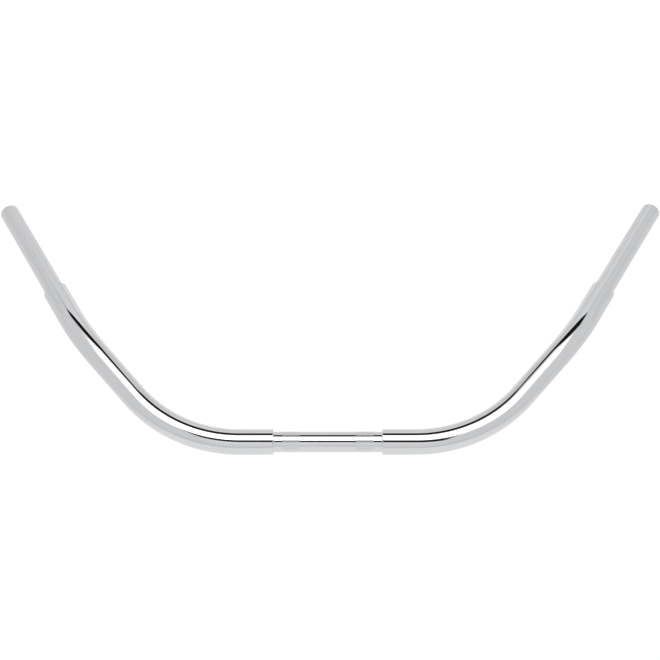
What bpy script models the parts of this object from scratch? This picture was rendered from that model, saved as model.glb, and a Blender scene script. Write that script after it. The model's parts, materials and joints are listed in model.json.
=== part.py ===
"""Motorcycle handlebar of the wide swept-back kind, welded up from five steel tubes and chrome plated.

A one-inch centre tube is held by the risers. A fatter arm tube slides over each of its ends, bends twice,
and takes a one-inch grip tube in its other end. A fillet weld closes each of the four shoulders.

Frame: the origin is on the axis of the centre tube, midway between the risers. +X is the rider's left,
+Y is towards the rider and +Z is up. At this tilt the bar also lies level on a bench, on its arms and bar ends.
Lengths are in metres.
"""

import math

import bmesh
import bpy
from mathutils import Matrix, Vector

INCH = 0.0254
MM = 0.001

OVERALL_WIDTH = 36.0 * INCH

# Tubes
SMALL_RADIUS = 1.0 * INCH / 2
ARM_RADIUS = 1.25 * INCH / 2
SMALL_WALL = 3.0 * MM
FIT_GAP = 0.3 * MM
TUBE_SIDES = 32
EDGE_CHAMFER = 0.8 * MM

# How far each one-inch tube reaches into its arm, and how much straight arm is left past it before a bend
SPIGOT_LENGTH = 38.0 * MM
BASE_SPARE = 3.4 * MM
TAIL_SPARE = 18.0 * MM

# Centre tube: the stretch that shows between the arms, and its two knurled bands, one in each riser
CLAMP_WIDTH = 134.4 * MM
KNURL_SPACING = 90.5 * MM
KNURL_WIDTH = 22.0 * MM
KNURL_DEPTH = 0.2 * MM

# Bends of the arm: the base bend beside the clamp, then the knee, whose plane is turned about the tube
BEND_RADIUS = 7.0 * INCH
BASE_BEND = math.radians(48.7)
KNEE_TURN = math.radians(-64.6)
KNEE_BEND = math.radians(24.9)
BEND_STEP = math.radians(4.5)

# Grip tube: the stretch that shows past the arm
GRIP_LENGTH = 7.5 * INCH

# Fillet weld in the corner of each shoulder
WELD_LEG = 1.0 * MM
WELD_SAG = 0.15 * MM
WELD_STEPS = 4

CHROME_COLOUR = (0.80, 0.81, 0.82, 1.0)
WELD_COLOUR = (0.74, 0.75, 0.76, 1.0)


def clear_scene():
    for obj in list(bpy.data.objects):
        bpy.data.objects.remove(obj)


def metal(name, colour, roughness):
    material = bpy.data.materials.new(name)
    material.use_nodes = True
    shader = material.node_tree.nodes["Principled BSDF"]
    shader.inputs["Base Color"].default_value = colour
    shader.inputs["Metallic"].default_value = 1.0
    shader.inputs["Roughness"].default_value = roughness
    return material


# A tube frame is a matrix: its Z axis is the way the tube runs, and its X axis points at the next bend's centre.


def start_frame(tilt):
    """The tube frame at the origin, running along +X. The base bend's plane rises by tilt towards the rider."""
    heading = Vector((1, 0, 0))
    inward = Vector((0, math.cos(tilt), math.sin(tilt)))
    return Matrix((inward, heading.cross(inward), heading)).transposed().to_4x4()


def along(frame, length):
    return frame @ Matrix.Translation((0, 0, length))


def turned(frame, angle):
    return frame @ Matrix.Rotation(angle, 4, "Z")


def bend_centre(frame):
    return frame @ Vector((BEND_RADIUS, 0, 0))


def bend_axis(frame):
    return frame.col[1].to_3d()


def bent(frame, angle):
    centre = Matrix.Translation(bend_centre(frame))
    return centre @ Matrix.Rotation(angle, 4, bend_axis(frame)) @ centre.inverted() @ frame


MOVES = {"straight": along, "turn": turned, "bend": bent}


def arm_route(mid_straight):
    """What the bender does to an arm, from the clamp shoulder to the grip shoulder."""
    return [
        ("straight", SPIGOT_LENGTH + BASE_SPARE),
        ("bend", BASE_BEND),
        ("straight", mid_straight),
        ("turn", KNEE_TURN),
        ("bend", KNEE_BEND),
        ("straight", TAIL_SPARE + SPIGOT_LENGTH),
    ]


def arm_end_frame(tilt, mid_straight):
    """The tube frame at the grip shoulder, where the grip tube comes out of the arm."""
    frame = along(start_frame(tilt), CLAMP_WIDTH / 2)
    for move, amount in arm_route(mid_straight):
        frame = MOVES[move](frame, amount)
    return frame


def mid_straight_for_width():
    """The straight between the bends that makes the whole bar OVERALL_WIDTH wide."""
    end = along(arm_end_frame(0.0, 0.0), GRIP_LENGTH - EDGE_CHAMFER)
    half_width = end.translation.x + SMALL_RADIUS * math.sqrt(1 - end.col[2].x ** 2)
    return (OVERALL_WIDTH / 2 - half_width) / math.cos(BASE_BEND)


def level_tilt(mid_straight):
    """The tilt at which the bar ends' lower rims are level with the undersides of the arms."""
    end = along(arm_end_frame(0.0, mid_straight), GRIP_LENGTH - EDGE_CHAMFER)
    place, heading = end.translation, end.col[2]
    reach = math.hypot(place.y, place.z)
    tilt = 0.0
    for _ in range(20):
        slope = heading.y * math.sin(tilt) + heading.z * math.cos(tilt)
        rim_drop = SMALL_RADIUS * math.sqrt(1 - slope**2)
        tilt = math.asin((rim_drop - ARM_RADIUS) / reach) - math.atan2(place.z, place.y)
    return tilt


def finish_mesh(bm, name, material, mirrored):
    """Makes an object of bm. A mirrored one is on the -X side."""
    if mirrored:
        bmesh.ops.scale(bm, vec=(-1, 1, 1), verts=bm.verts)
    bmesh.ops.recalc_face_normals(bm, faces=bm.faces)
    mesh = bpy.data.meshes.new(name)
    bm.to_mesh(mesh)
    bm.free()
    mesh.materials.append(material)
    mesh.shade_smooth()
    mesh.set_sharp_from_angle(angle=math.radians(30))
    bpy.context.scene.collection.objects.link(bpy.data.objects.new(name, mesh))


def turned_piece(name, profile, frame, material, mirrored=False):
    """A round piece: the closed profile of (radius, place along the axis) goes round the frame's Z axis."""
    bm = bmesh.new()
    points = [bm.verts.new((radius, 0, place)) for radius, place in profile]
    edges = [bm.edges.new((points[i - 1], points[i])) for i in range(len(points))]
    bmesh.ops.spin(
        bm,
        geom=points + edges,
        cent=(0, 0, 0),
        axis=(0, 0, 1),
        angle=2 * math.pi,
        steps=TUBE_SIDES,
        use_merge=True,
    )
    bmesh.ops.transform(bm, matrix=frame, verts=bm.verts)
    finish_mesh(bm, name, material, mirrored)


def wall_ring(bm, frame, outer, inner):
    """The ring of faces that is a tube's wall cut square, with its edges and corners."""
    outside, inside = (
        bmesh.ops.create_circle(bm, segments=TUBE_SIDES, radius=radius, matrix=frame)["verts"]
        for radius in (outer, inner)
    )
    faces = [
        bm.faces.new((outside[i - 1], outside[i], inside[i], inside[i - 1]))
        for i in range(TUBE_SIDES)
    ]
    edges = {edge for face in faces for edge in face.edges}
    return faces + list(edges) + outside + inside


def drawn_out(bm, ring, frame, length):
    """Extrudes the wall's ring straight on. Returns the ring at its new end."""
    ring = bmesh.ops.extrude_face_region(bm, geom=ring)["geom"]
    corners = [item for item in ring if isinstance(item, bmesh.types.BMVert)]
    bmesh.ops.translate(bm, verts=corners, vec=frame.col[2].to_3d() * length)
    return ring


def drawn_round(bm, ring, frame, angle):
    """Extrudes the wall's ring round a bend. Returns the ring at its new end."""
    return bmesh.ops.spin(
        bm,
        geom=ring,
        cent=bend_centre(frame),
        axis=bend_axis(frame),
        angle=angle,
        steps=math.ceil(angle / BEND_STEP),
    )["geom_last"]


def outer_rim(ring, frame):
    """The ring's edges that lie on the outside of the tube."""
    middle_of_wall = (ARM_RADIUS + SMALL_RADIUS) / 2
    to_frame = frame.inverted()
    edges = [item for item in ring if isinstance(item, bmesh.types.BMEdge)]
    return [
        edge
        for edge in edges
        if all((to_frame @ corner.co).xy.length > middle_of_wall for corner in edge.verts)
    ]


def arm_tube(name, tilt, mid_straight, material, mirrored):
    """The fat bent tube. Its bore clears the one-inch tubes that slide into both ends."""
    bm = bmesh.new()
    frame = along(start_frame(tilt), CLAMP_WIDTH / 2)
    ring = wall_ring(bm, frame, ARM_RADIUS, SMALL_RADIUS + FIT_GAP)
    rims = outer_rim(ring, frame)
    for move, amount in arm_route(mid_straight):
        if move == "straight":
            ring = drawn_out(bm, ring, frame, amount)
        elif move == "bend":
            ring = drawn_round(bm, ring, frame, amount)
        frame = MOVES[move](frame, amount)
    rims += outer_rim(ring, frame)
    bmesh.ops.bevel(bm, geom=rims, offset=EDGE_CHAMFER, segments=1, profile=0.5, affect="EDGES")
    finish_mesh(bm, name, material, mirrored)


def centre_tube(name, tilt, material):
    """The straight tube in the risers, with a shallow band for each knurl and chamfered ends inside the arms."""
    end = CLAMP_WIDTH / 2 + SPIGOT_LENGTH
    knurl_radius = SMALL_RADIUS - KNURL_DEPTH
    near = (KNURL_SPACING - KNURL_WIDTH) / 2
    far = near + KNURL_WIDTH
    half = [
        (SMALL_RADIUS, near),
        (knurl_radius, near + KNURL_DEPTH),
        (knurl_radius, far - KNURL_DEPTH),
        (SMALL_RADIUS, far),
        (SMALL_RADIUS, end - EDGE_CHAMFER),
        (SMALL_RADIUS - EDGE_CHAMFER, end),
        (SMALL_RADIUS - SMALL_WALL, end),
    ]
    mirrored_half = [(radius, -place) for radius, place in reversed(half)]
    turned_piece(name, half + mirrored_half, start_frame(tilt), material)


def grip_tube(name, shoulder, material, mirrored):
    """The straight tube that carries the grip and controls. It leaves the arm at the shoulder's frame."""
    bore = SMALL_RADIUS - SMALL_WALL
    chamfered = SMALL_RADIUS - EDGE_CHAMFER
    profile = [
        (bore, -SPIGOT_LENGTH),
        (chamfered, -SPIGOT_LENGTH),
        (SMALL_RADIUS, EDGE_CHAMFER - SPIGOT_LENGTH),
        (SMALL_RADIUS, GRIP_LENGTH - EDGE_CHAMFER),
        (chamfered, GRIP_LENGTH),
        (bore, GRIP_LENGTH),
    ]
    turned_piece(name, profile, shoulder, material, mirrored)


def weld_ring(name, shoulder, outward, material, mirrored):
    """The fillet weld in a shoulder. outward is +1 if the one-inch tube leaves along the frame's Z, else -1."""
    root = SMALL_RADIUS + FIT_GAP
    profile = [(root, outward * FIT_GAP)]
    for step in range(WELD_STEPS + 1):
        share = step / WELD_STEPS
        sag = WELD_SAG * math.sin(math.pi * share)
        radius = root + WELD_LEG * (1 - share) - sag
        profile.append((radius, outward * (FIT_GAP + WELD_LEG * share - sag)))
    turned_piece(name, profile, shoulder, material, mirrored)


def build():
    clear_scene()
    chrome = metal("chrome", CHROME_COLOUR, 0.06)
    weld = metal("plated_weld", WELD_COLOUR, 0.12)
    mid_straight = mid_straight_for_width()
    tilt = level_tilt(mid_straight)
    clamp_shoulder = along(start_frame(tilt), CLAMP_WIDTH / 2)
    grip_shoulder = arm_end_frame(tilt, mid_straight)
    centre_tube("centre_tube", tilt, chrome)
    for hand, mirrored in (("left", False), ("right", True)):
        arm_tube(hand + "_arm_tube", tilt, mid_straight, chrome, mirrored)
        grip_tube(hand + "_grip_tube", grip_shoulder, chrome, mirrored)
        weld_ring(hand + "_clamp_weld", clamp_shoulder, -1, weld, mirrored)
        weld_ring(hand + "_grip_weld", grip_shoulder, 1, weld, mirrored)


build()
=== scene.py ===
import json
import math

import bmesh
import bpy
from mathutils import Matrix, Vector


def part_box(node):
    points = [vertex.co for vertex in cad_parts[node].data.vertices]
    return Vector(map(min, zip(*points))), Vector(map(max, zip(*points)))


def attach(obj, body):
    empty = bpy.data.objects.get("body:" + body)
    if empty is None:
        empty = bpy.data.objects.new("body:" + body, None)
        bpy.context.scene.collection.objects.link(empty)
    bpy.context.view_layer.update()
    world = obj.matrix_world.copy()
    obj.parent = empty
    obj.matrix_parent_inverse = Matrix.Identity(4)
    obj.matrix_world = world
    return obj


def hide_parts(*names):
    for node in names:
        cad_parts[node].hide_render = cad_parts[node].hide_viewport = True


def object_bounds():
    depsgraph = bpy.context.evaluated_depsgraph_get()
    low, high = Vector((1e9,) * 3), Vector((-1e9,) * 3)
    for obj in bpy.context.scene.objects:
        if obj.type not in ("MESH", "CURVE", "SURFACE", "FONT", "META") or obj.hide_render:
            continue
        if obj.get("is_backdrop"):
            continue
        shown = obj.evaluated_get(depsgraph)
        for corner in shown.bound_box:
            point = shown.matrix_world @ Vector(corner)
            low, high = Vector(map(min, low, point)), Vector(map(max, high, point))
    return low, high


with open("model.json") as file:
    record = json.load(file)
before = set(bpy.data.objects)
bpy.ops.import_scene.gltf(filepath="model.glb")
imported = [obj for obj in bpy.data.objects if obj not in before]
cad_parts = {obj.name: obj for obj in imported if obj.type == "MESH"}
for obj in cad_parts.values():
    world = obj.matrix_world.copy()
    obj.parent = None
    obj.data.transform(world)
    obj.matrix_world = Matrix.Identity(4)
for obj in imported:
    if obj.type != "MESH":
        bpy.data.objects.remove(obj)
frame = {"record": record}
cad_low, cad_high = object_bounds()
mounts = {mount["name"]: mount for mount in frame["record"]["mounts"]}


# ---- Centre tube --------------------------------------------------------------------------------
# A 1 inch steel tube that the risers clamp. Two knurled bands are rolled into it so that it can't
# turn in the clamps, its ends lie inside the arms, and it is chrome plated like the rest of the bar.

CLAMP = mounts["riser_clamp"]["dims"]
CLAMP_HALF = CLAMP["length_mm"] / 2000
SMALL_RADIUS = CLAMP["r_mm"] / 1000
SMALL_WALL = 0.003
SMALL_BORE = SMALL_RADIUS - SMALL_WALL
CENTRE_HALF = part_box("centre_tube")[1].x
CENTRE_STATION = 0.004
EDGE_BREAK = 0.0008

# Knurled bands: BAND_PLACE is from the middle of the bar to the middle of a band, and KNURL_TOP is the
# flat top's share of a knurl. The plain tube has three sides to a knurl, to meet its top's corners.
BAND_PLACE = 0.04525
BAND_WIDTH = 0.022
KNURLS_ROUND = 32
KNURLS_LONG = 9
KNURL_DEPTH = 0.00015
KNURL_TOP = 2 / 3
CENTRE_SIDES = 3 * KNURLS_ROUND

# Corners closer than these are one corner: in a turned ring, in a finished piece, and between knurls.
RING_MERGE = 1e-7
PIECE_MERGE = 1e-6
KNURL_MERGE = 5e-6


def add(tree, kind, inputs=None, **settings):
    """A new node, with its settings, and its inputs linked or set."""
    made = tree.nodes.new(kind)
    for name, value in settings.items():
        setattr(made, name, value)
    for key, value in (inputs or {}).items():
        if isinstance(value, bpy.types.NodeSocket):
            tree.links.new(value, made.inputs[key])
        else:
            made.inputs[key].default_value = value
    return made


def number(tree, operation, *values):
    """One sum on numbers."""
    kind = "ShaderNodeMath"
    return add(tree, kind, dict(enumerate(values)), operation=operation).outputs[0]


def vector(tree, operation, *values):
    """One sum on vectors."""
    kind = "ShaderNodeVectorMath"
    return add(tree, kind, dict(enumerate(values)), operation=operation).outputs[0]


def scaled(tree, direction, length):
    """A vector times a number."""
    inputs = {0: direction, "Scale": length}
    return add(tree, "ShaderNodeVectorMath", inputs, operation="SCALE").outputs[0]


def new_tree(name, kind, inputs, outputs):
    """A node tree with named sockets, and its input and output nodes."""
    tree = bpy.data.node_groups.new(name, kind)
    for side, sockets in (("INPUT", inputs), ("OUTPUT", outputs)):
        for label, (socket, *start) in sockets.items():
            made = tree.interface.new_socket(label, in_out=side, socket_type=socket)
            if start:
                made.default_value = start[0]
    return tree, tree.nodes.new("NodeGroupInput").outputs, tree.nodes.new("NodeGroupOutput").inputs


def finish_tree(tree, geometry, sharp_above, material, output):
    """Ends a Geometry Nodes tree: smooth but for its sharp edges, real geometry, and its material."""
    angle = add(tree, "GeometryNodeInputMeshEdgeAngle").outputs["Unsigned Angle"]
    gentle = number(tree, "LESS_THAN", angle, sharp_above)
    shade = "GeometryNodeSetShadeSmooth"
    smooth = add(tree, shade, {"Geometry": geometry}, domain="FACE")
    creased = {"Geometry": smooth.outputs[0], "Shade Smooth": gentle}
    edges = add(tree, shade, creased, domain="EDGE")
    real = add(tree, "GeometryNodeRealizeInstances", {"Geometry": edges.outputs[0]})
    plated = {"Geometry": real.outputs[0], "Material": material}
    tree.links.new(add(tree, "GeometryNodeSetMaterial", plated).outputs[0], output)


def show(item):
    """Puts an object into the scene."""
    bpy.context.scene.collection.objects.link(item)
    return item


def worked(name, mesh, tree, **values):
    """The plain object that a Geometry Nodes tree makes of a mesh."""
    blank = show(bpy.data.objects.new(name + "_blank", mesh))
    modifier = blank.modifiers.new("work", "NODES")
    modifier.node_group = tree
    for item in tree.interface.items_tree:
        if item.in_out == "INPUT" and item.name in values:
            modifier[item.identifier] = values[item.name]
    depsgraph = bpy.context.evaluated_depsgraph_get()
    made = bpy.data.meshes.new_from_object(
        blank.evaluated_get(depsgraph), preserve_all_data_layers=True, depsgraph=depsgraph
    )
    bpy.data.objects.remove(blank)
    for slot in reversed(range(len(made.materials))):
        if made.materials[slot] is None:
            made.materials.pop(index=slot)
    whole = bmesh.new()
    whole.from_mesh(made)
    bmesh.ops.remove_doubles(whole, verts=whole.verts, dist=PIECE_MERGE)
    bmesh.ops.recalc_face_normals(whole, faces=whole.faces)
    whole.to_mesh(made)
    whole.free()
    made.name = name
    return show(bpy.data.objects.new(name, made))


def turned(outlines, sides, start=0.0):
    """Rings turned about the X axis, one for each outline of (along, radius) points."""
    rings = bmesh.new()
    for outline, closed in outlines:
        first = [
            rings.verts.new((along, radius * math.cos(start), radius * math.sin(start)))
            for along, radius in outline
        ]
        pairs = list(zip(first, first[1:])) + ([(first[-1], first[0])] if closed else [])
        edges = [rings.edges.new(pair) for pair in pairs]
        bmesh.ops.spin(
            rings,
            geom=first + edges,
            cent=(0, 0, 0),
            axis=(1, 0, 0),
            angle=math.tau,
            steps=sides,
            use_merge=True,
        )
    bmesh.ops.remove_doubles(rings, verts=rings.verts, dist=RING_MERGE)
    mesh = bpy.data.meshes.new("turned")
    rings.to_mesh(mesh)
    rings.free()
    return mesh


def steps(start, stop, longest):
    """Even places from start to stop, no further apart than longest."""
    count = math.ceil(abs(stop - start) / longest)
    return [start + (stop - start) * step / count for step in range(count + 1)]


def knurl_cell(name, corners, faces):
    """A flat mesh of one knurl: corner places as shares of the pitch, with heights."""
    around = math.tau * SMALL_RADIUS / KNURLS_ROUND
    along = BAND_WIDTH / KNURLS_LONG
    mesh = bpy.data.meshes.new(name)
    places = [(x * around, y * along, z * KNURL_DEPTH) for x, y, z in corners]
    mesh.from_pydata(places, [], faces)
    return bpy.data.objects.new(name, mesh)


TOP = KNURL_TOP / 2
MID = TOP / 2
GROOVE = [(0.5, 0, 0), (0, 0.5, 0), (-0.5, 0, 0), (0, -0.5, 0)]
UPPER_TOP = [(TOP, 0, 1), (MID, MID, 1), (0, TOP, 1), (-MID, MID, 1), (-TOP, 0, 1)]
whole_knurl = knurl_cell(
    "whole_knurl",
    GROOVE + UPPER_TOP + [(-MID, -MID, 1), (0, -TOP, 1), (MID, -MID, 1)],
    [(4, 5, 11), (5, 6, 10, 11), (6, 7, 9, 10), (7, 8, 9)]
    + [(0, 1, 6, 5, 4), (1, 2, 8, 7, 6), (2, 3, 10, 9, 8), (3, 0, 4, 11, 10)],
)
end_knurl = knurl_cell(
    "end_knurl",
    GROOVE[:3] + UPPER_TOP + [(0, 0, 1), (1 - TOP, 0, 1)],
    [(3, 4, 5, 8), (5, 6, 7, 8), (0, 1, 5, 4, 3), (1, 2, 7, 6, 5), (0, 3, 9)],
)

knurling, given, out = new_tree(
    "knurling",
    "GeometryNodeTree",
    {
        "Tube": ("NodeSocketGeometry",),
        "Whole knurl": ("NodeSocketObject",),
        "End knurl": ("NodeSocketObject",),
        "Knurls round": ("NodeSocketInt", KNURLS_ROUND),
        "Knurls long": ("NodeSocketInt", KNURLS_LONG),
        "Radius": ("NodeSocketFloat", SMALL_RADIUS),
        "Depth": ("NodeSocketFloat", KNURL_DEPTH),
        "Band width": ("NodeSocketFloat", BAND_WIDTH),
        "Band place": ("NodeSocketFloat", BAND_PLACE),
        "Sharp above": ("NodeSocketFloat", math.radians(6)),
        "Material": ("NodeSocketMaterial",),
    },
    {"Geometry": ("NodeSocketGeometry",)},
)
girth = number(knurling, "MULTIPLY", given["Radius"], math.tau)
pitch_round = number(knurling, "DIVIDE", girth, given["Knurls round"])
pitch_long = number(knurling, "DIVIDE", given["Band width"], given["Knurls long"])


def knurl_rows(cell, rows, start_round, start_long, gap_long, turn):
    """One cell set out flat in rows: the girth runs along X and the tube along Y."""
    cells = add(knurling, "GeometryNodeObjectInfo", {"Object": given[cell]}).outputs["Geometry"]
    first = add(knurling, "ShaderNodeCombineXYZ", {0: start_round, 1: start_long}).outputs[0]
    across = add(knurling, "ShaderNodeCombineXYZ", {0: pitch_round}).outputs[0]
    onward = add(knurling, "ShaderNodeCombineXYZ", {1: gap_long}).outputs[0]
    column = {"Count": rows, "Start Location": first, "Offset": onward}
    points = add(knurling, "GeometryNodeMeshLine", column).outputs[0]
    line = {"Count": given["Knurls round"], "Offset": across}
    row = add(knurling, "GeometryNodeMeshLine", line).outputs[0]
    spread = {"Points": points, "Instance": row}
    grid = add(knurling, "GeometryNodeInstanceOnPoints", spread).outputs[0]
    real = add(knurling, "GeometryNodeRealizeInstances", {"Geometry": grid}).outputs[0]
    placed = {"Points": real, "Instance": cells, "Rotation": (0, 0, turn)}
    return add(knurling, "GeometryNodeInstanceOnPoints", placed).outputs[0]


half_round = number(knurling, "MULTIPLY", pitch_round, 0.5)
half_long = number(knurling, "MULTIPLY", pitch_long, 0.5)
inner_rows = number(knurling, "SUBTRACT", given["Knurls long"], 1)
joined = add(knurling, "GeometryNodeJoinGeometry")
for rows in (
    knurl_rows("Whole knurl", inner_rows, 0.0, pitch_long, pitch_long, 0.0),
    knurl_rows("Whole knurl", given["Knurls long"], half_round, half_long, pitch_long, 0.0),
    knurl_rows("End knurl", 1, 0.0, 0.0, 0.0, 0.0),
    knurl_rows("End knurl", 1, 0.0, given["Band width"], 0.0, math.pi),
):
    knurling.links.new(rows, joined.inputs[0])
flat = add(knurling, "GeometryNodeRealizeInstances", {"Geometry": joined.outputs[0]}).outputs[0]

place = add(knurling, "GeometryNodeInputPosition").outputs[0]
spot = add(knurling, "ShaderNodeSeparateXYZ", {0: place}).outputs
minus_x = number(knurling, "MULTIPLY", spot["X"], -1.0)
angle = number(knurling, "DIVIDE", minus_x, given["Radius"])
low = number(knurling, "SUBTRACT", given["Radius"], given["Depth"])
height = number(knurling, "ADD", low, spot["Z"])
middle = number(knurling, "MULTIPLY", given["Band width"], 0.5)
wrapped = {
    0: number(knurling, "SUBTRACT", spot["Y"], middle),
    1: number(knurling, "MULTIPLY", height, number(knurling, "SINE", angle)),
    2: number(knurling, "MULTIPLY", height, number(knurling, "COSINE", angle)),
}
round_place = add(knurling, "ShaderNodeCombineXYZ", wrapped).outputs[0]
rolled = {"Geometry": flat, "Position": round_place}
band = add(knurling, "GeometryNodeSetPosition", rolled).outputs[0]
whole_tube = add(knurling, "GeometryNodeJoinGeometry")
knurling.links.new(given["Tube"], whole_tube.inputs[0])
for side in (-1.0, 1.0):
    band_place = number(knurling, "MULTIPLY", given["Band place"], side)
    shift = add(knurling, "ShaderNodeCombineXYZ", {0: band_place}).outputs[0]
    moved = add(knurling, "GeometryNodeTransform", {"Geometry": band, "Translation": shift})
    knurling.links.new(moved.outputs[0], whole_tube.inputs[0])
merge = {"Geometry": whole_tube.outputs[0], "Distance": KNURL_MERGE}
sealed = add(knurling, "GeometryNodeMergeByDistance", merge).outputs[0]
unbent = {"Geometry": sealed, "Name": "unbent", "Value": place}
kept = add(
    knurling, "GeometryNodeStoreNamedAttribute", unbent, data_type="FLOAT_VECTOR", domain="POINT"
)
finish_tree(knurling, kept.outputs[0], given["Sharp above"], given["Material"], out[0])


# Polish: how close the buffing lines and the clouds lie, the stretch of wear that shows, and the
# thickness over which the plate gives way to the dull steel of a bore.
LINES_LONG = 9.0
LINES_ROUND = 60.0
LINES_DETAIL = 3.0
CLOUDS = 38.0
CLOUDS_DETAIL = 4.0
WEAR_FROM = 0.3
WEAR_TO = 0.75
BORE_EDGE = 0.0003


def polish_group():
    """Buffed chrome: faint lengthwise lines and slight clouding, from a piece's unbent places."""
    group, given, out = new_tree(
        "polish",
        "ShaderNodeTree",
        {
            "Place": ("NodeSocketVector",),
            "Clouding": ("NodeSocketFloat", 0.5),
            "Lines": ("NodeSocketFloat", 0.5),
            "Clean roughness": ("NodeSocketFloat", 0.03),
            "Worn roughness": ("NodeSocketFloat", 0.08),
            "Bright colour": ("NodeSocketColor", (0.697, 0.703, 0.715, 1)),
            "Clouded colour": ("NodeSocketColor", (0.657, 0.663, 0.675, 1)),
            "Bore radius": ("NodeSocketFloat", SMALL_BORE),
            "Bore colour": ("NodeSocketColor", (0.36, 0.355, 0.35, 1)),
            "Bore roughness": ("NodeSocketFloat", 0.5),
        },
        {
            "Colour": ("NodeSocketColor",),
            "Roughness": ("NodeSocketFloat",),
            "Height": ("NodeSocketFloat",),
        },
    )
    spot = add(group, "ShaderNodeSeparateXYZ", {0: given["Place"]}).outputs
    girth = number(group, "ARCTAN2", spot["Z"], spot["Y"])
    lines_place = add(
        group,
        "ShaderNodeCombineXYZ",
        {
            0: number(group, "MULTIPLY", spot["X"], LINES_LONG),
            1: number(group, "MULTIPLY", number(group, "COSINE", girth), LINES_ROUND),
            2: number(group, "MULTIPLY", number(group, "SINE", girth), LINES_ROUND),
        },
    ).outputs[0]
    fine = {"Vector": lines_place, "Scale": 1.0, "Detail": LINES_DETAIL}
    lines = add(group, "ShaderNodeTexNoise", fine)
    broad = {"Vector": given["Place"], "Scale": CLOUDS, "Detail": CLOUDS_DETAIL}
    clouds = add(group, "ShaderNodeTexNoise", broad)
    cloudy = number(group, "MULTIPLY", clouds.outputs[0], given["Clouding"])
    lined = number(group, "MULTIPLY", lines.outputs[0], given["Lines"])
    wear = number(group, "ADD", cloudy, lined)
    spread = {"From Min": WEAR_FROM, "From Max": WEAR_TO, "Value": wear}
    amount = add(group, "ShaderNodeMapRange", spread).outputs[0]
    wearing = {"Value": amount, "To Min": given["Clean roughness"], "To Max": given["Worn roughness"]}
    worn = add(group, "ShaderNodeMapRange", wearing).outputs[0]
    colour = {0: amount, 6: given["Bright colour"], 7: given["Clouded colour"]}
    mixed = add(group, "ShaderNodeMix", colour, data_type="RGBA").outputs[2]
    across = add(group, "ShaderNodeCombineXYZ", {1: spot["Y"], 2: spot["Z"]}).outputs[0]
    radius = add(group, "ShaderNodeVectorMath", {0: across}, operation="LENGTH").outputs["Value"]
    edge = number(group, "ADD", given["Bore radius"], BORE_EDGE)
    inside = {"Value": radius, "From Min": given["Bore radius"], "From Max": edge}
    outside = add(group, "ShaderNodeMapRange", inside).outputs[0]
    plate = {0: outside, 6: given["Bore colour"], 7: mixed}
    smoothness = {0: outside, 2: given["Bore roughness"], 3: worn}
    group.links.new(add(group, "ShaderNodeMix", plate, data_type="RGBA").outputs[2], out["Colour"])
    group.links.new(add(group, "ShaderNodeMix", smoothness).outputs[0], out["Roughness"])
    group.links.new(wear, out["Height"])
    return group


polish = polish_group()


def plated(name, bump, **values):
    """A metal finish on the polish group, with its own values."""
    material = bpy.data.materials.new(name)
    material.use_nodes = True
    tree = material.node_tree
    shader = tree.nodes["Principled BSDF"]
    shader.inputs["Metallic"].default_value = 1.0
    places = add(tree, "ShaderNodeAttribute", attribute_name="unbent").outputs["Vector"]
    group = add(tree, "ShaderNodeGroup", node_tree=polish)
    tree.links.new(places, group.inputs["Place"])
    for label, value in values.items():
        group.inputs[label.replace("_", " ")].default_value = value
    tree.links.new(group.outputs["Colour"], shader.inputs["Base Color"])
    tree.links.new(group.outputs["Roughness"], shader.inputs["Roughness"])
    waves = {"Height": group.outputs["Height"], "Strength": 1.0, "Distance": bump}
    tree.links.new(add(tree, "ShaderNodeBump", waves).outputs[0], shader.inputs["Normal"])
    return material


CHROME_BUMP = 2e-6
chrome = plated("chrome_plate", CHROME_BUMP)

near = BAND_PLACE - BAND_WIDTH / 2
far = BAND_PLACE + BAND_WIDTH / 2
between_bands = [(along, SMALL_RADIUS) for along in steps(-near, near, CENTRE_STATION)]
left_end = [
    (along, SMALL_RADIUS) for along in steps(far, CENTRE_HALF - EDGE_BREAK, CENTRE_STATION)
]
left_end += [(CENTRE_HALF, SMALL_RADIUS - EDGE_BREAK), (CENTRE_HALF, SMALL_BORE)]
right_end = [(-along, radius) for along, radius in reversed(left_end)]
centre_rings = turned(
    [(between_bands, False), (left_end + right_end, False)],
    CENTRE_SIDES,
    math.pi / 2,
)
centre_tube = worked(
    "centre_tube_plated",
    centre_rings,
    knurling,
    **{"Whole knurl": whole_knurl, "End knurl": end_knurl, "Material": chrome},
)
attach(centre_tube, "root")
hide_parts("centre_tube")


# ---- Arm tubes ----------------------------------------------------------------------------------
# Two 1 1/4 inch steel tubes, mandrel bent twice each: once beside the clamp and once at the knee.
# Each slides over an end of the centre tube, is welded there, and is plated with the whole bar.

ARM_RADIUS = 0.015875
FIT_GAP = 0.0003
ARM_BORE = SMALL_RADIUS + FIT_GAP
SPIGOT = CENTRE_HALF - CLAMP_HALF
BEND_RADIUS = 0.1778
BASE_BEND = math.radians(48.7)
KNEE_BEND = math.radians(24.9)
BASE_SPARE = 0.0034
TAIL_SPARE = 0.018
GRIP_LENGTH = 0.1905

# The bar-end mount lies on the steel of the rim, this far above the middle of the tube.
RIM_MIDDLE = 0.0108

# Rounded edges, and how far apart the rings of corners lie outside, in the bore and round a bend.
ARM_SIDES = 128
CLAMP_ROUNDING = 0.0003
TAIL_ROUNDING = 0.0012
INNER_ROUNDING = 0.0004
ROUNDING_STEPS = 6
ROUNDING_HOLD = 0.0003
STATION = 0.003
BORE_STATION = 0.008
BEND_STEPS = 160
RIPPLE_SCALE = 420.0


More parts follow.
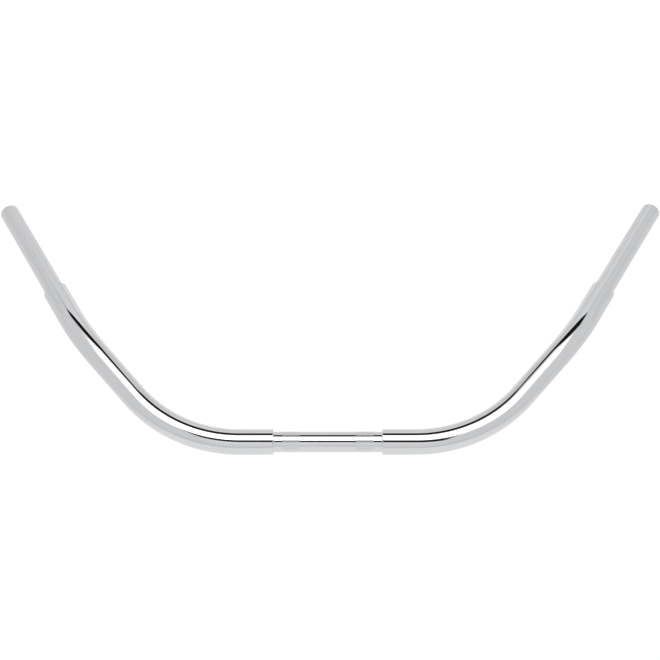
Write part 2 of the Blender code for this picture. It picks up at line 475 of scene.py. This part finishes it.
def bar_route():
    """The bar's bend line before its corners are rounded, from one bar end to the other."""
    mount = mounts["left_bar_end"]
    outward = Vector(mount["axis"]).normalized()
    upward = (Vector((0, 0, 1)) - outward * outward.z).normalized()
    end = Vector(mount["pos_m"]) - upward * RIM_MIDDLE
    knee_reach = GRIP_LENGTH + SPIGOT + TAIL_SPARE + BEND_RADIUS * math.tan(KNEE_BEND / 2)
    knee = end - outward * knee_reach
    base = Vector((CENTRE_HALF + BASE_SPARE + BEND_RADIUS * math.tan(BASE_BEND / 2), 0, 0))
    half = [base, knee, end]
    curve = bpy.data.curves.new("bend_line", "CURVE")
    curve.dimensions = "3D"
    line = curve.splines.new("POLY")
    corners = [Vector((-p.x, p.y, p.z)) for p in reversed(half)] + half
    line.points.add(len(corners) - 1)
    for point, corner in zip(line.points, corners):
        point.co = (*corner, 1)
    arcs = 2 * BEND_RADIUS * (BASE_BEND / 2 - math.tan(BASE_BEND / 2))
    arcs += 2 * BEND_RADIUS * (KNEE_BEND / 2 - math.tan(KNEE_BEND / 2))
    length = base.x + (knee - base).length + (end - knee).length + arcs
    return bpy.data.objects.new("bend_line", curve), length


route, HALF_LENGTH = bar_route()
GRIP_SHOULDER = HALF_LENGTH - GRIP_LENGTH

bending, given, out = new_tree(
    "tube_bending",
    "GeometryNodeTree",
    {
        "Tube": ("NodeSocketGeometry",),
        "Route": ("NodeSocketObject",),
        "Bend radius": ("NodeSocketFloat", BEND_RADIUS),
        "Ripple": ("NodeSocketFloat", 0.0),
        "Ripple seed": ("NodeSocketFloat", 0.0),
        "Sharp above": ("NodeSocketFloat", math.radians(35)),
        "Material": ("NodeSocketMaterial",),
    },
    {"Geometry": ("NodeSocketGeometry",)},
)
line = add(bending, "GeometryNodeObjectInfo", {"Object": given["Route"]}).outputs["Geometry"]
corners = {
    "Curve": line,
    "Count": BEND_STEPS,
    "Radius": given["Bend radius"],
    "Limit Radius": True,
}
smooth_line = add(bending, "GeometryNodeFilletCurve", corners, mode="POLY").outputs[0]
place = add(bending, "GeometryNodeInputPosition").outputs[0]
unbent = {"Geometry": given["Tube"], "Name": "unbent", "Value": place}
kept = add(
    bending, "GeometryNodeStoreNamedAttribute", unbent, data_type="FLOAT_VECTOR", domain="POINT"
)
noise = {"Vector": place, "W": given["Ripple seed"], "Scale": RIPPLE_SCALE, "Detail": 1.0}
lumps = add(bending, "ShaderNodeTexNoise", noise, noise_dimensions="4D").outputs[0]
swell = number(bending, "MULTIPLY", number(bending, "SUBTRACT", lumps, 0.5), given["Ripple"])
spot = add(bending, "ShaderNodeSeparateXYZ", {0: place}).outputs
radial = add(bending, "ShaderNodeCombineXYZ", {1: spot["Y"], 2: spot["Z"]}).outputs[0]
outward = vector(bending, "NORMALIZE", radial)
rippled = vector(bending, "ADD", radial, scaled(bending, outward, swell))
off = add(bending, "ShaderNodeSeparateXYZ", {0: rippled}).outputs
length = add(bending, "GeometryNodeCurveLength", {"Curve": smooth_line}).outputs[0]
reach = number(bending, "ADD", spot["X"], number(bending, "MULTIPLY", length, 0.5))
at = add(
    bending, "GeometryNodeSampleCurve", {"Curves": smooth_line, "Length": reach}, mode="LENGTH"
).outputs
cross = vector(bending, "CROSS_PRODUCT", at["Tangent"], at["Normal"])
sideways = vector(
    bending, "ADD", scaled(bending, at["Normal"], off["Y"]), scaled(bending, cross, off["Z"])
)
bent_place = vector(bending, "ADD", at["Position"], sideways)
bent = {"Geometry": kept.outputs[0], "Position": bent_place}
bent_tube = add(bending, "GeometryNodeSetPosition", bent).outputs[0]
finish_tree(bending, bent_tube, given["Sharp above"], given["Material"], out[0])


def quarter_round(along, radius, size, facing):
    """A rounded outer edge at (along, radius), from the end face to the side."""
    turns = [math.pi / 2 * step / ROUNDING_STEPS for step in range(ROUNDING_STEPS + 1)]
    return [
        (along + facing * size * (1 - math.cos(turn)), radius - size * (1 - math.sin(turn)))
        for turn in turns
    ]


def tube_outline(start, stop, radius, bore, start_round, stop_round):
    """The closed wall outline of a tube: outside from start to stop, then back down the bore."""
    first = start + start_round + ROUNDING_HOLD
    last = stop - stop_round - ROUNDING_HOLD
    outside = quarter_round(start, radius, start_round, 1)
    outside += [(along, radius) for along in steps(first, last, STATION)]
    outside += reversed(quarter_round(stop, radius, stop_round, -1))
    bore_places = steps(stop - INNER_ROUNDING, start + INNER_ROUNDING, BORE_STATION)
    inside = [(stop, bore + INNER_ROUNDING)]
    inside += [(along, bore) for along in bore_places]
    return outside + inside + [(start, bore + INNER_ROUNDING)]


def on_side(outline, side):
    """An outline as it is for the left arm (side 1), or mirrored for the right one (side -1)."""
    return [(side * along, radius) for along, radius in outline]


for side, name in ((1, "left"), (-1, "right")):
    wall = tube_outline(
        CLAMP_HALF, GRIP_SHOULDER, ARM_RADIUS, ARM_BORE, CLAMP_ROUNDING, TAIL_ROUNDING
    )
    arm = worked(
        f"{name}_arm_tube_plated",
        turned([(on_side(wall, side), True)], ARM_SIDES),
        bending,
        Route=route,
        Material=chrome,
    )
    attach(arm, "root")
    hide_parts(f"{name}_arm_tube")


# ---- Grip tubes ---------------------------------------------------------------------------------
# Straight 1 inch steel tubes for the rubber grips and the controls. The inner end of each lies in
# its arm, and the open outer end has its edges broken after the cut.

GRIP_SIDES = 96

for side, name in ((1, "left"), (-1, "right")):
    wall = tube_outline(
        GRIP_SHOULDER - SPIGOT, HALF_LENGTH, SMALL_RADIUS, SMALL_BORE, EDGE_BREAK, EDGE_BREAK
    )
    grip = worked(
        f"{name}_grip_tube_plated",
        turned([(on_side(wall, side), True)], GRIP_SIDES),
        bending,
        Route=route,
        Material=chrome,
    )
    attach(grip, "root")
    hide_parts(f"{name}_grip_tube")


# ---- Clamp and grip welds -----------------------------------------------------------------------
# A fillet weld closes each of the four shoulders where a 1 inch tube leaves an arm. It is ground
# and dressed to a slight hollow before plating, so only a trace of its ripple is left.

WELD_LEG = 0.001
WELD_SAG = 0.00015
WELD_ROOT = 0.0002
WELD_RIPPLE = 0.00004
WELD_SIDES = 192
WELD_STEPS = 8
WELD_SHARP = math.radians(50)
WELD_BUMP = 6e-6

weld_plate = plated(
    "dressed_weld_plate",
    WELD_BUMP,
    Clean_roughness=0.07,
    Worn_roughness=0.16,
    Bright_colour=(0.66, 0.665, 0.67, 1),
    Clouded_colour=(0.60, 0.605, 0.61, 1),
)


def weld_outline(shoulder, facing):
    """A hollow fillet in the corner between a shoulder and the smaller tube's side."""
    face = []
    for step in range(WELD_STEPS + 1):
        share = step / WELD_STEPS
        hollow = 4 * WELD_SAG * share * (1 - share) / math.sqrt(2)
        along = WELD_LEG * (1 - share) - hollow
        height = WELD_LEG * share - hollow
        face.append((shoulder + facing * max(along, 0), SMALL_RADIUS + max(height, 0)))
    root_out = (shoulder - facing * WELD_ROOT, SMALL_RADIUS + WELD_LEG)
    root_in = (shoulder - facing * WELD_ROOT, SMALL_RADIUS - WELD_ROOT)
    return face + [root_out, root_in, (shoulder + facing * WELD_LEG, SMALL_RADIUS - WELD_ROOT)]


seed = 0
for side, name in ((1, "left"), (-1, "right")):
    for joint, shoulder, facing in (("clamp", CLAMP_HALF, -1), ("grip", GRIP_SHOULDER, 1)):
        seed += 1
        weld = worked(
            f"{name}_{joint}_weld_plated",
            turned([(on_side(weld_outline(shoulder, facing), side), True)], WELD_SIDES),
            bending,
            **{
                "Route": route,
                "Ripple": WELD_RIPPLE,
                "Ripple seed": float(seed),
                "Sharp above": WELD_SHARP,
                "Material": weld_plate,
            },
        )
        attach(weld, "root")
        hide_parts(f"{name}_{joint}_weld")


# ---- Floor, light and camera --------------------------------------------------------------------
# The bar lies on a pale light table, in a light-grey tent with one white softbox overhead. Two dark
# gaps in the tent, its opening and the camera's, give the chrome its black lines.

# Light table: it glows, less so towards its sides, and shows plain white to the camera.
FLOOR_HALF = 3.0
FLOOR_MIDDLE = 0.89
FLOOR_SIDES = 0.75
FLOOR_FALL = (0.2, 0.4)
FLOOR_SEEN = 0.95
FLOOR_GREY = 0.10
FLOOR_ROUGHNESS = 0.9

table = bpy.data.materials.new("light_table")
table.use_nodes = True
tree = table.node_tree
surface = tree.nodes["Principled BSDF"]
surface.inputs["Base Color"].default_value = (FLOOR_GREY, FLOOR_GREY, FLOOR_GREY, 1)
surface.inputs["Roughness"].default_value = FLOOR_ROUGHNESS
surface.inputs["Specular IOR Level"].default_value = 0.0
surface.inputs["Emission Color"].default_value = (1, 1, 1, 1)
places = add(tree, "ShaderNodeTexCoord").outputs["Object"]
off_middle = number(tree, "ABSOLUTE", add(tree, "ShaderNodeSeparateXYZ", {0: places}).outputs["X"])
fall = {
    "Value": off_middle,
    "From Min": FLOOR_FALL[0],
    "From Max": FLOOR_FALL[1],
    "To Min": FLOOR_MIDDLE,
    "To Max": FLOOR_SIDES,
}
lit = add(tree, "ShaderNodeMapRange", fall, interpolation_type="SMOOTHSTEP").outputs[0]
seen = add(tree, "ShaderNodeLightPath").outputs["Is Camera Ray"]
glowing = {0: seen, 2: lit, 3: FLOOR_SEEN}
strength = add(tree, "ShaderNodeMix", glowing, data_type="FLOAT").outputs[0]
tree.links.new(strength, surface.inputs["Emission Strength"])

corners = [
    (x * FLOOR_HALF, y * FLOOR_HALF, cad_low.z) for x, y in ((-1, -1), (1, -1), (1, 1), (-1, 1))
]
floor_mesh = bpy.data.meshes.new("floor")
floor_mesh.from_pydata(corners, [], [(0, 1, 2, 3)])
floor_mesh.materials.append(table)
floor = show(bpy.data.objects.new("floor", floor_mesh))
floor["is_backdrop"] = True

# Studio: the lift of a direction is its angle from the level in front of the bar, up and over to the
# level behind it, and its sweep is its angle towards the rider's left, both in degrees. A range's
# third number is how far each of its edges is softened.

# Brightness of the tent by lift, and what the camera itself sees of it.
TENT = {
    -20: 0.88,
    2: 0.75,
    12: 0.84,
    30: 0.89,
    47: 0.98,
    65: 1.0,
    118: 1.02,
    141: 0.99,
    152: 0.88,
    185: 0.80,
}
TENT_SEEN = 1.0

# Brightness of the tent's sides: low in front, from there to behind, and low behind. SIDE_RISE and
# SIDE_FADE are the lifts where these meet, and SIDE_FROM is how far aside the sides take over.
TENT_SIDE_LOW = 0.76
TENT_SIDE = 0.84
TENT_SIDE_BACK = 0.80
SIDE_RISE = (4, 22)
SIDE_FADE = (135, 150)
SIDE_FROM = (8, 22)

# Softbox: SOFTBOX_HALF is half its width at its front edge, and falls by SOFTBOX_TAPER for each degree
# of lift. Round it lies a halo, brighter than the tent.
SOFTBOX = 3.0
SOFTBOX_LIFT = (72.5, 112, 2.5)
SOFTBOX_HALF = 19.0
SOFTBOX_TAPER = 0.24
SOFTBOX_EDGE = 4.0
HALO = 1.25
HALO_LIFT = (72, 112, 4)
HALO_HALF = 18.0
HALO_EDGE = 12.0

# Tent's opening, behind the bar, where more lift is lower down: its top is an arch, highest at the sweep
# BACK_GAP_ARCH_PLACE, and its foot rises towards the rider's left.
GAP = 0.012
BACK_GAP_SWEEP = (-25.5, 21.0, 1.2)
BACK_GAP_TOP = 117.0
BACK_GAP_ARCH = 0.016
BACK_GAP_ARCH_PLACE = 5.0
BACK_GAP_FOOT = 139.5
BACK_GAP_FOOT_SLOPE = 0.12
BACK_GAP_EDGE = 1.5

# Camera's opening, in front of the bar: it slopes down towards the rider's left.
CAMERA_GAP_LIFT = (52.5, 70.5, 1.5)
CAMERA_GAP_SWEEP = (-15, 12.5, 2.0)
CAMERA_GAP_SLOPE = 0.4

# Cloth of the tent: how its brightness is mottled.
MOTTLES = 5.0
MOTTLES_DETAIL = 2.0
MOTTLES_FROM = (0.3, 0.7)
MOTTLES_TO = (0.96, 1.03)

world = bpy.data.worlds.new("studio")
world.use_nodes = True
bpy.context.scene.world = world
tree = world.node_tree
tree.nodes.clear()
way = add(tree, "ShaderNodeTexCoord").outputs["Generated"]
spot = add(tree, "ShaderNodeSeparateXYZ", {0: vector(tree, "NORMALIZE", way)}).outputs
front = number(tree, "MULTIPLY", spot["Y"], -1.0)
lift = number(tree, "DEGREES", number(tree, "ARCTAN2", spot["Z"], front))
sweep = number(tree, "DEGREES", number(tree, "ARCSINE", spot["X"]))
aside = number(tree, "ABSOLUTE", sweep)


def ease(value, start, stop):
    """0 before start, 1 after stop, and smooth between."""
    inputs = {"Value": value, "From Min": start, "From Max": stop}
    return add(tree, "ShaderNodeMapRange", inputs, interpolation_type="SMOOTHSTEP").outputs[0]


def below(value, limit, soft):
    """1 up to a limit and 0 past it, with the edge softened."""
    return number(tree, "SUBTRACT", 1.0, ease(value, limit - soft, limit + soft))


def window(value, low, high, soft):
    """1 between low and high, with both edges softened."""
    above = ease(value, low - soft, low + soft)
    return number(tree, "MULTIPLY", above, below(value, high, soft))


def both(one, other):
    """Where two masks overlap."""
    return number(tree, "MULTIPLY", one, other)


def blend(amount, under, over):
    """Mixes two brightnesses."""
    levels = {0: amount, 2: under, 3: over}
    return add(tree, "ShaderNodeMix", levels, data_type="FLOAT").outputs[0]


lifts = sorted(TENT)
glow = TENT[lifts[0]]
for low, high in zip(lifts, lifts[1:]):
    glow = blend(ease(lift, low, high), glow, TENT[high])
side_glow = blend(ease(lift, *SIDE_RISE), TENT_SIDE_LOW, TENT_SIDE)
side_glow = blend(ease(lift, *SIDE_FADE), side_glow, TENT_SIDE_BACK)
glow = blend(ease(aside, *SIDE_FROM), glow, side_glow)

halo = both(below(aside, HALO_HALF, HALO_EDGE), window(lift, *HALO_LIFT))
glow = blend(halo, glow, HALO)
past_front = number(tree, "SUBTRACT", lift, SOFTBOX_LIFT[0])
narrowing = number(tree, "MULTIPLY", past_front, SOFTBOX_TAPER)
half_width = number(tree, "SUBTRACT", SOFTBOX_HALF, narrowing)
past_side = number(tree, "SUBTRACT", aside, half_width)
softbox = both(window(lift, *SOFTBOX_LIFT), below(past_side, 0.0, SOFTBOX_EDGE))
glow = blend(softbox, glow, SOFTBOX)

from_arch_place = number(tree, "SUBTRACT", sweep, BACK_GAP_ARCH_PLACE)
squared = number(tree, "MULTIPLY", from_arch_place, from_arch_place)
arch = number(tree, "MULTIPLY", squared, BACK_GAP_ARCH)
past_arch = number(tree, "SUBTRACT", lift, arch)
under_top = ease(past_arch, BACK_GAP_TOP - BACK_GAP_EDGE, BACK_GAP_TOP + BACK_GAP_EDGE)
foot_lift = number(tree, "ADD", lift, number(tree, "MULTIPLY", sweep, BACK_GAP_FOOT_SLOPE))
back_gap = both(under_top, below(foot_lift, BACK_GAP_FOOT, BACK_GAP_EDGE))
back_gap = both(back_gap, window(sweep, *BACK_GAP_SWEEP))
glow = blend(back_gap, glow, GAP)

camera_lift = number(tree, "ADD", lift, number(tree, "MULTIPLY", sweep, CAMERA_GAP_SLOPE))
camera_gap = both(window(camera_lift, *CAMERA_GAP_LIFT), window(sweep, *CAMERA_GAP_SWEEP))
glow = blend(camera_gap, glow, GAP)

spots = {"Vector": way, "Scale": MOTTLES, "Detail": MOTTLES_DETAIL}
mottles = add(tree, "ShaderNodeTexNoise", spots).outputs[0]
cloth = {
    "Value": mottles,
    "From Min": MOTTLES_FROM[0],
    "From Max": MOTTLES_FROM[1],
    "To Min": MOTTLES_TO[0],
    "To Max": MOTTLES_TO[1],
}
glow = number(tree, "MULTIPLY", glow, add(tree, "ShaderNodeMapRange", cloth).outputs[0])
seen = add(tree, "ShaderNodeLightPath").outputs["Is Camera Ray"]
white = {"Color": (1, 1, 1, 1), "Strength": blend(seen, glow, TENT_SEEN)}
shown = add(tree, "ShaderNodeBackground", white).outputs[0]
add(tree, "ShaderNodeOutputWorld", {"Surface": shown})

CAMERA_PLACE = (0.0201, -1.0331, 1.5383)
CAMERA_TURN = (38.151, 0.467, 0.274)
LENS = 81.82
FILM_WIDTH = 36.0
NEAREST_SEEN = 0.05
FARTHEST_SEEN = 50.0

camera_data = bpy.data.cameras.new("camera")
camera_data.lens = LENS
camera_data.sensor_width = FILM_WIDTH
camera_data.clip_start = NEAREST_SEEN
camera_data.clip_end = FARTHEST_SEEN
camera = show(bpy.data.objects.new("camera", camera_data))
camera.location = CAMERA_PLACE
camera.rotation_euler = [math.radians(turn) for turn in CAMERA_TURN]
bpy.context.scene.camera = camera
bpy.context.scene.view_settings.view_transform = "Standard"

low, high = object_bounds()
